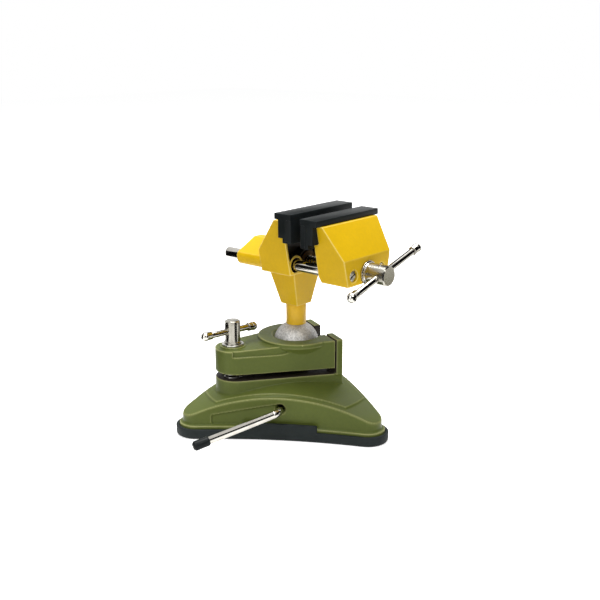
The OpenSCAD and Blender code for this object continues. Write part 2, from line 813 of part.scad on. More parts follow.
// Cross bar with turned-down ends, from -span/2 to span/2
module cross_bar(d, span, knob_d) {
    edge = 0.5;
    tip = span / 2 + knob_d * 0.2;
    rotate([0, 90, 0]) rotate_extrude() polygon([[0, -tip], [d / 2 - edge, -tip], [d / 2, edge - tip],
        [d / 2, tip - edge], [d / 2 - edge, tip], [0, tip]]);
}

// Barrel knob of a cross bar, bored for the bar, facing +X
module bar_knob(d, span, knob_d) {
    knob_r = knob_d / 2;
    collar_w = knob_d * 0.22;
    tip = span / 2 + knob_d * 0.2 + set_gap;
    difference() {
        translate([span / 2, 0, 0]) {
            sphere(r = knob_r);
            bar_x(d / 2 + 0.9, -knob_r - collar_w, 0);
        }
        bar_x(d / 2 + set_gap, 0, tip);
    }
}

module clamp_bar() {
    color(bright_steel) clamp_bar_frame() translate([clamp_bar_push, 0, 0])
        cross_bar(clamp_bar_d, clamp_bar_span, clamp_knob_d);
}

module clamp_bar_ends() {
    color(bright_steel) clamp_bar_frame() translate([clamp_bar_push, 0, 0])
        for (a = [0, 180]) rotate([0, 0, a]) bar_knob(clamp_bar_d, clamp_bar_span, clamp_knob_d);
}

module swivel_ball() {
    color(grey_metal) translate([0, 0, ball_z]) sphere(r = ball_r, $fn = 120);
}

module neck_post() {
    color(yellow_paint) difference() {
        translate([0, 0, ball_z]) {
            cylinder(d = neck_d, h = neck_len);
            cylinder(d = spigot_d, h = neck_len + spigot_len);
        }
        translate([0, 0, ball_z]) sphere(r = ball_r + run_gap, $fn = 120);
    }
}

// Width of both jaws, tapering downwards
module jaw_taper(u0, u1) {
    along(u0, u1) polygon([[-jaw_foot_w / 2, jaw_foot_z], [jaw_foot_w / 2, jaw_foot_z],
        [jaw_w / 2, jaw_top_z], [-jaw_w / 2, jaw_top_z]]);
}

// Rear block of the fixed jaw: a boss round each rod, and a roof over them and the spindle
module rear_block() {
    eave_v = rod_v + boss_r * sin(eave_turn);
    eave_z = rod_z + boss_r * cos(eave_turn);
    ridge_z = rod_z + ridge_h;
    ridge_v = max(1, eave_v - (ridge_z - eave_z) / tan(roof_lean));
    far_v = rod_v + 2 * boss_r;
    far_z = ridge_z - (far_v - ridge_v) * tan(roof_lean);
    base_z = jaw_foot_z + rear_step_h;
    intersection() {
        union() {
            for (v = [-rod_v, rod_v]) bar_u(boss_r, rear_u, 0, v);
            along(rear_u, 0) polygon([[-rod_v, base_z], [rod_v, base_z], [rod_v, ridge_z], [-rod_v, ridge_z]]);
        }
        along(rear_u - over, over) polygon([[-far_v, base_z], [far_v, base_z], [far_v, far_z],
            [ridge_v, ridge_z], [-ridge_v, ridge_z], [-far_v, far_z]]);
    }
}

// Tapered post between the neck and the fixed jaw
module tapered_post() {
    foot = post_foot_w / 2;
    intersection() {
        across(through) polygon([[-foot, post_foot_z], [foot, post_foot_z],
            [post_front_u, jaw_foot_z + over], [-post_rear_u, jaw_foot_z + over]]);
        along(-through, through) polygon([[-foot, post_foot_z], [foot, post_foot_z],
            [post_head_w / 2, jaw_foot_z + over], [-post_head_w / 2, jaw_foot_z + over]]);
    }
}

// Pocket in the front of the fixed jaw, round the bosses of the rods and the nut
module front_pocket() {
    pocket_z = jaw_foot_z + pocket_wall;
    pocket_top_z = cap_low_z;
    slope = (jaw_w - jaw_foot_w) / 2 / jaw_h;
    half_low = jaw_foot_w / 2 + slope * pocket_wall - pocket_wall;
    half_high = half_low + slope * (pocket_top_z - pocket_z);
    difference() {
        along(fixed_front_u - pocket_depth, fixed_front_u + over) polygon([[-half_low, pocket_z],
            [half_low, pocket_z], [half_high, pocket_top_z], [-half_high, pocket_top_z]]);
        for (v = [-rod_v, rod_v]) bar_u(boss_r, 0, fixed_front_u + 2 * over, v);
        bar_u(nut_d / 2 + 2, 0, nut_front_u - 1.5);
    }
}

module fixed_jaw() {
    color(yellow_paint) difference() {
        union() {
            intersection() {
                across(through) polygon([[fixed_front_u, jaw_foot_z], [fixed_front_u, rear_step_z],
                    [fixed_recess_u, rear_step_z], [fixed_recess_u, jaw_top_z], [jaw_top_u, jaw_top_z],
                    [slant_u, jaw_foot_z + slant_h], [slant_u, jaw_foot_z]]);
                jaw_taper(slant_u - over, fixed_front_u + over);
            }
            rear_block();
            tapered_post();
        }
        front_pocket();
        for (v = [-rod_v, rod_v]) {
            bar_u(rod_r + run_gap, rear_u - over, fixed_front_u + over, v);
            bar_u(rod_r + bush_t + set_gap, bush_u, fixed_front_u + over, v);
        }
        bar_u(spindle_r + free_gap, rear_u - over, fixed_front_u + over);
        bar_u(nut_d / 2 + set_gap, nut_front_u - nut_len, fixed_front_u + over);
        translate([0, 0, post_foot_z - over])
            cylinder(r = spigot_d / 2 + run_gap, h = spigot_len + over + free_gap);
    }
}

module spindle_nut() {
    color(bronze_metal) difference() {
        bar_u(nut_d / 2, nut_front_u - nut_len, nut_front_u);
        bar_u(spindle_r + run_gap, nut_front_u - nut_len - over, nut_front_u + over);
    }
}

module rod_bushes() {
    color(bronze_metal) for (v = [-rod_v, rod_v]) difference() {
        bar_u(rod_r + bush_t, bush_u, bush_u + bush_len, v);
        bar_u(rod_r + run_gap, bush_u - over, bush_u + bush_len + over, v);
    }
}

// Cap with its gripping face at u = 0 and the jaw behind it; the gripping plate is a little shorter
module jaw_cap() {
    plate_end = 0.8;
    across(cap_len) polygon([[0, jaw_top_z], [0, cap_top_z], [-cap_flange_w, cap_top_z],
        [-cap_flange_w, jaw_top_z], [-cap_block_w, jaw_top_z], [-cap_block_w, cap_step_z],
        [-cap_lip_w, cap_step_z], [-cap_lip_w, cap_low_z], [-cap_plate_t, cap_low_z], [-cap_plate_t, jaw_top_z]]);
    across(cap_len - 2 * plate_end) polygon([[0, cap_low_z], [0, jaw_top_z + over],
        [-cap_plate_t - over, jaw_top_z + over], [-cap_plate_t - over, cap_low_z]]);
}

module rear_jaw_cap() {
    color(black_plastic) translate([0, -grip_u, rear_cap_rise]) jaw_cap();
}

module front_jaw_cap() {
    color(black_plastic) translate([0, -move_grip_u, 0]) mirror([0, 1, 0]) jaw_cap();
}

module movable_jaw() {
    color(yellow_paint) difference() {
        intersection() {
            across(through) polygon([[move_rear_u, jaw_foot_z + jaw_chamfer], [move_rear_u, cap_step_z],
                [move_recess_u, cap_step_z], [move_recess_u, jaw_top_z], [move_top_u, jaw_top_z],
                [move_crease_u, crease_z], [move_front_u, jaw_foot_z],
                [move_rear_u + jaw_chamfer / 2, jaw_foot_z]]);
            jaw_taper(move_rear_u - over, move_front_u + over);
        }
        for (v = [-rod_v, rod_v]) {
            bar_u(rod_r + set_gap, move_rear_u - over, rod_front_u, v);
            bar_u(rod_screw_d / 2 + free_gap / 2, rod_front_u - over, front_face_u + over, v);
            bar_u(rod_screw_head_d / 2 + 0.3, rod_seat_u, front_face_u + 2 * over, v);
        }
        bar_u(spindle_r + run_gap, move_rear_u - over, front_face_u + over);
        bar_u(spindle_washer_d / 2 + 0.4, front_face_u - over / 2, front_face_u + 4 * over);
    }
}

// Guide rod with the threaded hole of its screw in the front end
module guide_rod(v) {
    edge = 0.8;
    color(bright_steel) difference() {
        translate([v, -rod_rear_u, rod_z]) rotate([90, 0, 0]) rotate_extrude() polygon([[0, 0],
            [rod_r - edge, 0], [rod_r, edge], [rod_r, rod_len], [0, rod_len]]);
        bar_u(rod_screw_d / 2 + set_gap, rod_front_u - rod_screw_len - over, rod_front_u + over, v);
    }
}

module guide_rod_left() {
    guide_rod(-rod_v);
}

module guide_rod_right() {
    guide_rod(rod_v);
}

module rod_screws() {
    head_r = rod_screw_head_d / 2;
    edge = 0.6;
    slot_w = 1.5;
    slot_depth = 1.2;
    slot_turn = 60;
    seat = rod_seat_u - rod_front_u + rod_screw_len;
    color(bright_steel) for (v = [-rod_v, rod_v]) difference() {
        translate([v, rod_screw_len - rod_front_u, rod_z]) rotate([90, 0, 0]) rotate_extrude() polygon([[0, 0],
            [rod_screw_d / 2, 0], [rod_screw_d / 2, seat], [head_r, seat],
            [head_r, seat + rod_screw_head_h - edge], [head_r - edge, seat + rod_screw_head_h],
            [0, seat + rod_screw_head_h]]);
        translate([v, -(rod_seat_u + rod_screw_head_h), rod_z]) rotate([0, slot_turn, 0])
            cube([slot_w, 2 * slot_depth, 2 * rod_screw_head_d], center = true);
    }
}

module spindle() {
    head_r = spindle_head_d / 2;
    edge = 1;
    groove_r = spindle_r - 0.7;
    back = head_u - spindle_rear_u;
    color(bright_steel) difference() {
        spindle_frame(spindle_rear_u) rotate_extrude() polygon([[0, 0], [spindle_r - edge, 0], [spindle_r, edge],
            [spindle_r, retainer_u - 0.1 - spindle_rear_u], [groove_r, retainer_u - 0.1 - spindle_rear_u],
            [groove_r, retainer_u + retainer_t + 0.1 - spindle_rear_u],
            [spindle_r, retainer_u + retainer_t + 0.1 - spindle_rear_u], [spindle_r, back],
            [head_r, back], [head_r, back + spindle_head_len - edge],
            [head_r - edge, back + spindle_head_len], [0, back + spindle_head_len]]);
        spindle_bar_frame() bar_x(spindle_bar_d / 2 + run_gap, -spindle_head_d, spindle_head_d);
        spindle_bar_frame() cylinder(d = detent_d + 2 * set_gap, h = spindle_head_d);
    }
}

// Frame at the spindle's cross hole, with X along the bar
module spindle_bar_frame() {
    translate([0, -cross_hole_u, rod_z]) rotate([0, -spindle_bar_tilt, 0]) children();
}

module spindle_washer() {
    color(bright_steel) spindle_frame(front_face_u - over / 2) difference() {
        union() {
            cylinder(d = spindle_washer_d, h = (spindle_washer_t + over) * 0.55);
            cylinder(d = spindle_washer_d - 2.4, h = spindle_washer_t + over - set_gap);
        }
        translate([0, 0, -over]) cylinder(r = spindle_r + free_gap / 2, h = spindle_washer_t + 3 * over);
    }
}

module spindle_retainer() {
    color(bright_steel) spindle_frame(retainer_u) difference() {
        cylinder(r = spindle_r + 2.4, h = retainer_t);
        translate([0, 0, -over]) cylinder(r = spindle_r - 0.7 + set_gap, h = retainer_t + 2 * over);
        translate([-spindle_r + 1.5, 0, -over]) cube([2 * spindle_r - 3, through, retainer_t + 2 * over]);
    }
}

module spindle_detent() {
    rise = 0.6;
    color(grey_metal) spindle_bar_frame() translate([0, 0, spindle_bar_d / 2 + run_gap]) {
        cylinder(d = detent_d, h = spindle_head_d / 2 - spindle_bar_d / 2 - run_gap);
        translate([0, 0, spindle_head_d / 2 - spindle_bar_d / 2 - run_gap - detent_d / 2 + rise])
            sphere(d = detent_d);
    }
}

module spindle_bar() {
    color(bright_steel) spindle_bar_frame() translate([spindle_bar_push, 0, 0])
        cross_bar(spindle_bar_d, spindle_bar_span, spindle_knob_d);
}

module spindle_bar_ends() {
    color(bright_steel) spindle_bar_frame() translate([spindle_bar_push, 0, 0])
        for (a = [0, 180]) rotate([0, a, 0]) bar_knob(spindle_bar_d, spindle_bar_span, spindle_knob_d);
}

suction_pad();
base_casting();
pad_plate();
pull_stud();
vacuum_lever();
lever_grip();
lever_clip();
clamp_plate();
lift_spring();
clamp_washer();
clamp_screw();
clamp_bar();
clamp_bar_ends();
swivel_ball();
neck_post();
fixed_jaw();
spindle_nut();
rod_bushes();
rear_jaw_cap();
front_jaw_cap();
movable_jaw();
guide_rod_left();
guide_rod_right();
rod_screws();
spindle();
spindle_washer();
spindle_retainer();
spindle_detent();
spindle_bar();
spindle_bar_ends();
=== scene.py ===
import math

import bmesh
import bpy
from mathutils import Matrix, Vector


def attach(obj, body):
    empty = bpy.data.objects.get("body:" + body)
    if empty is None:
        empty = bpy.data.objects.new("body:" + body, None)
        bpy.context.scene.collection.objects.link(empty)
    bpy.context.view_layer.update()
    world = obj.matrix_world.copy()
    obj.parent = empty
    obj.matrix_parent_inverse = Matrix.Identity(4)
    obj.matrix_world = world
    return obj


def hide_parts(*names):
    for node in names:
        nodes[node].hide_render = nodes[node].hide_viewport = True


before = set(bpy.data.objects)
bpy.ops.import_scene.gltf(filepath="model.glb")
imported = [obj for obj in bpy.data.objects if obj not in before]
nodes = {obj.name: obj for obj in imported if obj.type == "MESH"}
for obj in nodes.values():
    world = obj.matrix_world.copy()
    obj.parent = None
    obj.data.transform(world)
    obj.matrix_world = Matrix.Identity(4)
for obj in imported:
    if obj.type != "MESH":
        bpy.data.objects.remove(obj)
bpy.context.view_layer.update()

# Studio
# A white paper floor under a white surround, lit by four soft boxes. The camera is at the left front corner.
# Black and grey cards stand and lie where only the bright metal sees them.
scene = bpy.context.scene
scene.view_settings.view_transform = "Standard"

camera_at = Vector((-0.6308, -0.5457, 0.3401))
camera_aim = Vector((0.0023, -0.0026, 0.1105))
camera_data = bpy.data.cameras.new("camera")
camera_data.lens = 58.08
camera_data.sensor_width = 36.0
camera = bpy.data.objects.new("camera", camera_data)
camera.matrix_world = Matrix.LocRotScale(
    camera_at, (camera_aim - camera_at).to_track_quat("-Z", "Y"), None)
scene.collection.objects.link(camera)
scene.camera = camera


def soft_box(name, at, width, height, watts):
    """A rectangular lamp in metres and watts, turned to the middle of the vise."""
    data = bpy.data.lights.new(name, "AREA")
    data.shape = "RECTANGLE"
    data.size = width
    data.size_y = height
    data.energy = watts
    lamp = bpy.data.objects.new(name, data)
    at = Vector(at)
    lamp.matrix_world = Matrix.LocRotScale(at, (camera_aim - at).to_track_quat("-Z", "Y"), None)
    scene.collection.objects.link(lamp)


soft_box("key_box", (-0.55, -1.05, 1.15), 0.8, 0.6, 9.5)
soft_box("side_box", (-1.25, 0.10, 0.75), 0.7, 0.9, 4.0)
soft_box("top_box", (0.10, 0.15, 1.45), 0.9, 0.9, 26.0)
soft_box("rim_box", (0.95, 0.34, 1.05), 0.8, 0.8, 3.0)


def seen_directly(tree):
    """1 where the camera, a reflection or glass looks at the surface, and 0 for the light that it gives."""
    rays = tree.nodes.new("ShaderNodeLightPath")
    seen = rays.outputs["Is Camera Ray"]
    for ray in ("Is Glossy Ray", "Is Transmission Ray"):
        either = tree.nodes.new("ShaderNodeMath")
        either.operation = "MAXIMUM"
        tree.links.new(seen, either.inputs[0])
        tree.links.new(rays.outputs[ray], either.inputs[1])
        seen = either.outputs[0]
    return seen


world = bpy.data.worlds.new("surround")
scene.world = world
world.use_nodes = True
tree = world.node_tree
tree.nodes.clear()
fill_light = tree.nodes.new("ShaderNodeBackground")
fill_light.inputs["Color"].default_value = (1.0, 1.0, 1.0, 1.0)
fill_light.inputs["Strength"].default_value = 0.20
white_surround = tree.nodes.new("ShaderNodeBackground")
white_surround.inputs["Color"].default_value = (1.0, 1.0, 1.0, 1.0)
surround_mix = tree.nodes.new("ShaderNodeMixShader")
tree.links.new(seen_directly(tree), surround_mix.inputs["Fac"])
tree.links.new(fill_light.outputs[0], surround_mix.inputs[1])
tree.links.new(white_surround.outputs[0], surround_mix.inputs[2])
surround_out = tree.nodes.new("ShaderNodeOutputWorld")
tree.links.new(surround_mix.outputs[0], surround_out.inputs["Surface"])


def new_material(name):
    """A material with an empty node tree, and its output node."""
    material = bpy.data.materials.new(name)
    material.use_nodes = True
    material.node_tree.nodes.clear()
    return material, material.node_tree, material.node_tree.nodes.new("ShaderNodeOutputMaterial")


paper, tree, out = new_material("paper_floor")
paper_face = tree.nodes.new("ShaderNodeBsdfDiffuse")
paper_grain = tree.nodes.new("ShaderNodeTexNoise")
paper_grain.inputs["Scale"].default_value = 40.0
paper_tone = tree.nodes.new("ShaderNodeMapRange")
paper_tone.inputs["To Min"].default_value = 0.90
paper_tone.inputs["To Max"].default_value = 0.94
tree.links.new(paper_grain.outputs["Fac"], paper_tone.inputs["Value"])
tree.links.new(paper_tone.outputs["Result"], paper_face.inputs["Color"])
paper_place = tree.nodes.new("ShaderNodeTexCoord")
paper_reach = tree.nodes.new("ShaderNodeVectorMath")
paper_reach.operation = "LENGTH"
tree.links.new(paper_place.outputs["Object"], paper_reach.inputs[0])
paper_fade = tree.nodes.new("ShaderNodeMapRange")
paper_fade.inputs["From Min"].default_value = 0.15
paper_fade.inputs["From Max"].default_value = 0.80
paper_fade.inputs["To Min"].default_value = 0.58
paper_fade.inputs["To Max"].default_value = 0.80
tree.links.new(paper_reach.outputs["Value"], paper_fade.inputs["Value"])
paper_glow = tree.nodes.new("ShaderNodeEmission")
tree.links.new(paper_fade.outputs["Result"], paper_glow.inputs["Strength"])
lit_paper = tree.nodes.new("ShaderNodeAddShader")
tree.links.new(paper_face.outputs[0], lit_paper.inputs[0])
tree.links.new(paper_glow.outputs[0], lit_paper.inputs[1])
paper_mix = tree.nodes.new("ShaderNodeMixShader")
tree.links.new(seen_directly(tree), paper_mix.inputs["Fac"])
tree.links.new(paper_face.outputs[0], paper_mix.inputs[1])
tree.links.new(lit_paper.outputs[0], paper_mix.inputs[2])
tree.links.new(paper_mix.outputs[0], out.inputs["Surface"])


def piece_from(bm, name, material):
    """A new object at the origin with this mesh and material."""
    mesh = bpy.data.meshes.new(name)
    bm.to_mesh(mesh)
    bm.free()
    obj = bpy.data.objects.new(name, mesh)
    scene.collection.objects.link(obj)
    mesh.materials.append(material)
    return obj


floor_half = 4.0
bm = bmesh.new()
bmesh.ops.create_grid(bm, x_segments=1, y_segments=1, size=floor_half)
floor = piece_from(bm, "paper_floor", paper)


def card_face(name, colour):
    """The dull face of a card."""
    material, tree, out = new_material(name)
    face = tree.nodes.new("ShaderNodeBsdfDiffuse")
    face.inputs["Color"].default_value = colour
    tree.links.new(face.outputs[0], out.inputs["Surface"])
    return material


def set_up_card(bm, name, material):
    """A card in the studio that only reflections see."""
    card = piece_from(bm, name, material)
    card.visible_camera = card.visible_diffuse = card.visible_shadow = card.visible_transmission = False


card_black = card_face("black_card", (0.004, 0.004, 0.004, 1))
for card_turn, card_far, card_half, card_foot, card_top in (
        (140.0, 0.50, 0.20, 0.00, 0.50), (304.0, 0.50, 0.24, 0.12, 0.95), (222.0, 0.60, 0.18, 0.12, 0.60),
        (262.0, 0.27, 0.11, 0.00, 0.30), (41.0, 0.35, 0.35, 0.00, 0.10), (31.7, 0.55, 0.16, 0.35, 1.05)):
    bm = bmesh.new()
    angle = math.radians(card_turn)
    away = Vector((math.cos(angle), math.sin(angle), 0.0))
    across = Vector((-away.y, away.x, 0.0)) * card_half
    corners = [away * card_far + across * side + Vector((0, 0, height)) for side, height in (
        (-1, card_foot), (1, card_foot), (1, card_top), (-1, card_top))]
    bm.faces.new([bm.verts.new(corner) for corner in corners])
    set_up_card(bm, "black_card", card_black)

card_grey = card_face("grey_card", (0.30, 0.29, 0.22, 1))
card_lift = 0.001
for card_turn, card_far, card_r, material in (
        (319.0, 0.56, 0.20, card_grey), (289.0, 0.28, 0.12, card_black), (200.0, 0.38, 0.10, card_grey),
        (126.0, 0.37, 0.20, card_black)):
    bm = bmesh.new()
    bmesh.ops.create_circle(bm, cap_ends=True, radius=card_r, segments=32)
    angle = math.radians(card_turn)
    card_at = (card_far * math.cos(angle), card_far * math.sin(angle), card_lift)
    bmesh.ops.translate(bm, vec=card_at, verts=bm.verts)
    set_up_card(bm, "floor_card", material)

# Suction pad
# A black rubber moulding under the foot, sucked down on the bench.
# Its rim and its pull tab stand up round the casting's flange.


def casting_of(node):
    """A bmesh copy of a node's solid with its triangles joined into whole faces."""
    bm = bmesh.new()
    bm.from_mesh(nodes[node].data)
    bmesh.ops.remove_doubles(bm, verts=bm.verts, dist=1e-6)
    bmesh.ops.dissolve_limit(bm, angle_limit=math.radians(1.0), verts=bm.verts, edges=bm.edges)
    return bm


def round_edges(bm, edges, radius, steps):
    """Round some edges of a mesh."""
    bmesh.ops.bevel(bm, geom=edges, offset=radius, offset_type="OFFSET", segments=steps, profile=0.5,
                    affect="EDGES", material=-1, clamp_overlap=True)


def ease_edges(bm, radius, steps=2, sharpest=math.radians(32)):
    """Break the sharp edges of a mesh."""
    sharp = [e for e in bm.edges if len(e.link_faces) == 2 and e.calc_face_angle() > sharpest]
    round_edges(bm, sharp, radius, steps)


def stand_for(node, bm, name, material):
    """A finished mesh as the piece that stands for a node."""
    obj = piece_from(bm, name, material)
    obj.data.shade_smooth()
    obj.data.set_sharp_from_angle(angle=math.radians(35))
    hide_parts(node)
    return obj


def softened(node, name, material, edge, steps=2):
    """A copy of a node with its sharp edges broken, standing for that node."""
    bm = casting_of(node)
    ease_edges(bm, edge, steps)
    return stand_for(node, bm, name, material)


def group_with(name, inputs, outputs):
    """An empty shader node group with these sockets, and its two end nodes."""
    group = bpy.data.node_groups.new(name, "ShaderNodeTree")
    for socket, kind, value in inputs:
        group.interface.new_socket(socket, in_out="INPUT", socket_type=kind).default_value = value
    for socket, kind in outputs:
        group.interface.new_socket(socket, in_out="OUTPUT", socket_type=kind)
    return group, group.nodes.new("NodeGroupInput"), group.nodes.new("NodeGroupOutput")


def noise_at(tree, place, scale, detail=2.0):
    """Noise of this scale per metre, or of a scale that a socket gives."""
    noise = tree.nodes.new("ShaderNodeTexNoise")
    noise.inputs["Detail"].default_value = detail
    tree.links.new(place, noise.inputs["Vector"])
    if isinstance(scale, bpy.types.NodeSocket):
        tree.links.new(scale, noise.inputs["Scale"])
    else:
        noise.inputs["Scale"].default_value = scale
    return noise.outputs["Fac"]


def shifted(tree, value, amount):
    """A value with a constant added."""
    node = tree.nodes.new("ShaderNodeMath")
    node.operation = "ADD"
    node.inputs[1].default_value = amount
    tree.links.new(value, node.inputs[0])
    return node.outputs[0]


def ranged(tree, value, low, high, to_low, to_high):
    """A value's range from low to high, mapped on to another range; the ends may be sockets."""
    node = tree.nodes.new("ShaderNodeMapRange")
    tree.links.new(value, node.inputs["Value"])
    for socket, end in (("From Min", low), ("From Max", high), ("To Min", to_low), ("To Max", to_high)):
        if isinstance(end, bpy.types.NodeSocket):
            tree.links.new(end, node.inputs[socket])
        else:
            node.inputs[socket].default_value = end
    return node.outputs["Result"]


def mixed(tree, factor, first, second, blend="MIX"):
    """Two colours mixed by a factor; each may be a socket or a value."""
    node = tree.nodes.new("ShaderNodeMix")
    node.data_type = "RGBA"
    node.blend_type = blend
    for index, value in ((0, factor), (6, first), (7, second)):
        if isinstance(value, bpy.types.NodeSocket):
            tree.links.new(value, node.inputs[index])
        else:
            node.inputs[index].default_value = value
    return node.outputs[2]


def bumped(tree, height, strength, distance):
    """A normal that follows a height; the strength is a socket."""
    node = tree.nodes.new("ShaderNodeBump")
    node.inputs["Distance"].default_value = distance
    tree.links.new(strength, node.inputs["Strength"])
    tree.links.new(height, node.inputs["Height"])
    return node.outputs["Normal"]


# Moulded black: small grain in the mould's face, and a grey bloom in patches
moulded, enter, leave = group_with(
    "moulded_black",
    [("Black", "NodeSocketColor", (0.02, 0.02, 0.02, 1)), ("Bloom", "NodeSocketColor", (0.05, 0.05, 0.05, 1)),
     ("Shine", "NodeSocketFloat", 0.5), ("Grain", "NodeSocketFloat", 0.1)],
    [("Color", "NodeSocketColor"), ("Roughness", "NodeSocketFloat"), ("Normal", "NodeSocketVector")])
place = moulded.nodes.new("ShaderNodeTexCoord").outputs["Object"]
patches = noise_at(moulded, place, 45.0, 4.0)
grain = noise_at(moulded, place, 2600.0)
bloom = ranged(moulded, patches, 0.40, 0.75, 0.0, 1.0)
black = mixed(moulded, bloom, enter.outputs["Black"], enter.outputs["Bloom"])
moulded.links.new(black, leave.inputs["Color"])
low_shine = shifted(moulded, enter.outputs["Shine"], -0.08)
shine = ranged(moulded, patches, 0.3, 0.7, low_shine, enter.outputs["Shine"])
moulded.links.new(shine, leave.inputs["Roughness"])
moulded.links.new(bumped(moulded, grain, enter.outputs["Grain"], 0.0002), leave.inputs["Normal"])


def faced(name, group, values, **sockets):
    """A Principled material whose colour, roughness and normal come from a group with these values."""
    material, tree, out = new_material(name)
    shader = tree.nodes.new("ShaderNodeBsdfPrincipled")
    tree.links.new(shader.outputs[0], out.inputs["Surface"])
    face = tree.nodes.new("ShaderNodeGroup")
    face.node_tree = group
    for socket, value in values.items():
        face.inputs[socket].default_value = value
    for output, socket in (("Color", "Base Color"), ("Roughness", "Roughness"), ("Normal", "Normal")):
        tree.links.new(face.outputs[output], shader.inputs[socket])
    for socket, value in sockets.items():
        shader.inputs[socket.replace("_", " ")].default_value = value
    return material


rubber = faced("black_rubber", moulded, {
    "Black": (0.012, 0.016, 0.016, 1), "Bloom": (0.022, 0.028, 0.028, 1), "Shine": 0.62, "Grain": 0.25},
    Specular_IOR_Level=0.14)
pad_foot_r = 0.0025
pad_edge_r = 0.0007
bm = casting_of("suction_pad")
foot_edges = [e for e in bm.edges if max(v.co.z for v in e.verts) < 1e-5 and e.calc_face_angle(0.0) > 1.0]
round_edges(bm, foot_edges, pad_foot_r, 4)
ease_edges(bm, pad_edge_r, 3)
pad = stand_for("suction_pad", bm, "rubber_pad", rubber)
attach(pad, "base")

# Foot casting
# A three-lobed hollow light-alloy casting with the lower half of the ball clamp and its two posts.
# The edges and hollows are as soft as the mould leaves them, under olive enamel with painted shade in its
# hollows and a painted highlight on its edges; the clamp's faces carry a near-black painted shade.


def cast_soft(node, name, material, grain, rounds, keep):
    """A copy of a casting with edges and corners rounded as a mould leaves them, standing for that node."""
    bm = bmesh.new()
    bm.from_mesh(nodes[node].data)
    bmesh.ops.remove_doubles(bm, verts=bm.verts, dist=1e-6)
    obj = piece_from(bm, name, material)
    skin = obj.modifiers.new("skin", "REMESH")
    skin.mode = "VOXEL"
    skin.voxel_size = grain
    rounding = obj.modifiers.new("rounding", "SMOOTH")
    rounding.factor = 0.5
    rounding.iterations = rounds
    thinning = obj.modifiers.new("thinning", "DECIMATE")
    thinning.ratio = keep
    whole = bpy.data.meshes.new_from_object(obj.evaluated_get(bpy.context.evaluated_depsgraph_get()))
    obj.modifiers.clear()
    obj.data = whole
    whole.shade_smooth()
    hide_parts(node)
    return obj


def paint_shade_on(casting, is_shaded):
    """Give the faces of a casting that pass a test a near-black painted shade."""
    casting.data.materials.append(painted_shade_casting)
    for face in casting.data.polygons:
        if is_shaded(face):
            face.material_index = 1


# Casting enamel: soft patches, a fine orange peel, painted shade in the hollows and a painted highlight on
# the edges
enamel, enter, leave = group_with(
    "casting_enamel",
    [("Paint", "NodeSocketColor", (0.5, 0.5, 0.5, 1)), ("Hollows", "NodeSocketColor", (0.4, 0.4, 0.4, 1)),
     ("Edges", "NodeSocketColor", (0.6, 0.6, 0.6, 1)), ("Peel", "NodeSocketFloat", 0.1),
     ("Shine", "NodeSocketFloat", 0.35)],
    [("Color", "NodeSocketColor"), ("Roughness", "NodeSocketFloat"), ("Normal", "NodeSocketVector")])
place = enamel.nodes.new("ShaderNodeTexCoord").outputs["Object"]
bend = enamel.nodes.new("ShaderNodeNewGeometry").outputs["Pointiness"]
patches = noise_at(enamel, place, 22.0, 3.0)
mottle = noise_at(enamel, place, 420.0, 3.0)
peel = noise_at(enamel, place, 520.0)
# Painted shade and highlight: hollows and creases, where shade falls, darken towards one colour, and sharp
# edges lighten towards another as a painted highlight.
painted_hollow_shade = ranged(enamel, bend, 0.40, 0.495, 1.0, 0.0)
painted_edge_highlight = ranged(enamel, bend, 0.503, 0.55, 0.0, 0.85)
paint = mixed(enamel, painted_hollow_shade, enter.outputs["Paint"], enter.outputs["Hollows"])
paint = mixed(enamel, painted_edge_highlight, paint, enter.outputs["Edges"])
for spread, darkest in ((patches, 0.90), (mottle, 0.93)):
    lightness = ranged(enamel, spread, 0.3, 0.7, 0.0, 1.0)
    tone = mixed(enamel, lightness, (darkest, darkest, darkest, 1), (1, 1, 1, 1))
    paint = mixed(enamel, 1.0, paint, tone, "MULTIPLY")
enamel.links.new(paint, leave.inputs["Color"])
high_shine = shifted(enamel, enter.outputs["Shine"], 0.12)
shine = ranged(enamel, mottle, 0.3, 0.7, enter.outputs["Shine"], high_shine)
enamel.links.new(shine, leave.inputs["Roughness"])
enamel.links.new(bumped(enamel, peel, enter.outputs["Peel"], 0.0004), leave.inputs["Normal"])

# The darker colour is painted shade for the hollows, the lighter one a painted highlight for the edges.
olive_enamel = faced("olive_enamel", enamel, {
    "Paint": (0.098, 0.123, 0.024, 1), "Hollows": (0.042, 0.056, 0.012, 1), "Edges": (0.38, 0.38, 0.16, 1),
    "Peel": 0.16, "Shine": 0.34}, Specular_IOR_Level=0.12, Coat_Weight=0.05, Coat_Roughness=0.15)
# A near-black painted shade for faces in the clamp's gap, the notch and the pocket, where shade falls.
painted_shade_casting = faced("near_black_painted_shade", enamel, {
    "Paint": (0.020, 0.014, 0.007, 1), "Hollows": (0.008, 0.006, 0.004, 1), "Edges": (0.035, 0.026, 0.012, 1),
    "Peel": 0.3, "Shine": 0.5})
clamp_turn = math.radians(-26)
to_clamp = Matrix.Rotation(-clamp_turn, 3, "Z")
block_top_low, block_top_high = 0.0478, 0.0490
post_front = 0.0238
notch_start = 0.015
notch_half_w = 0.013
skin_depth = 0.0006


def is_notch_wall(face):
    """A wall of the notch for the neck, cut through the clamp."""
    at, out_of = to_clamp @ face.center, to_clamp @ face.normal
    faces_notch = at.y * out_of.y < -0.5 * notch_half_w
    return at.x > notch_start and abs(abs(at.y) - notch_half_w) < skin_depth and faces_notch


def is_clamp_face(face):
    """The top of the lower clamp block, or a face of the posts towards the plate or the notch."""
    at, out_of = to_clamp @ face.center, to_clamp @ face.normal
    if at.z > block_top_high:
        return is_notch_wall(face) or out_of.x < -0.6 and abs(at.x - post_front) < skin_depth
    return out_of.z > 0.6 and block_top_low < at.z < block_top_high


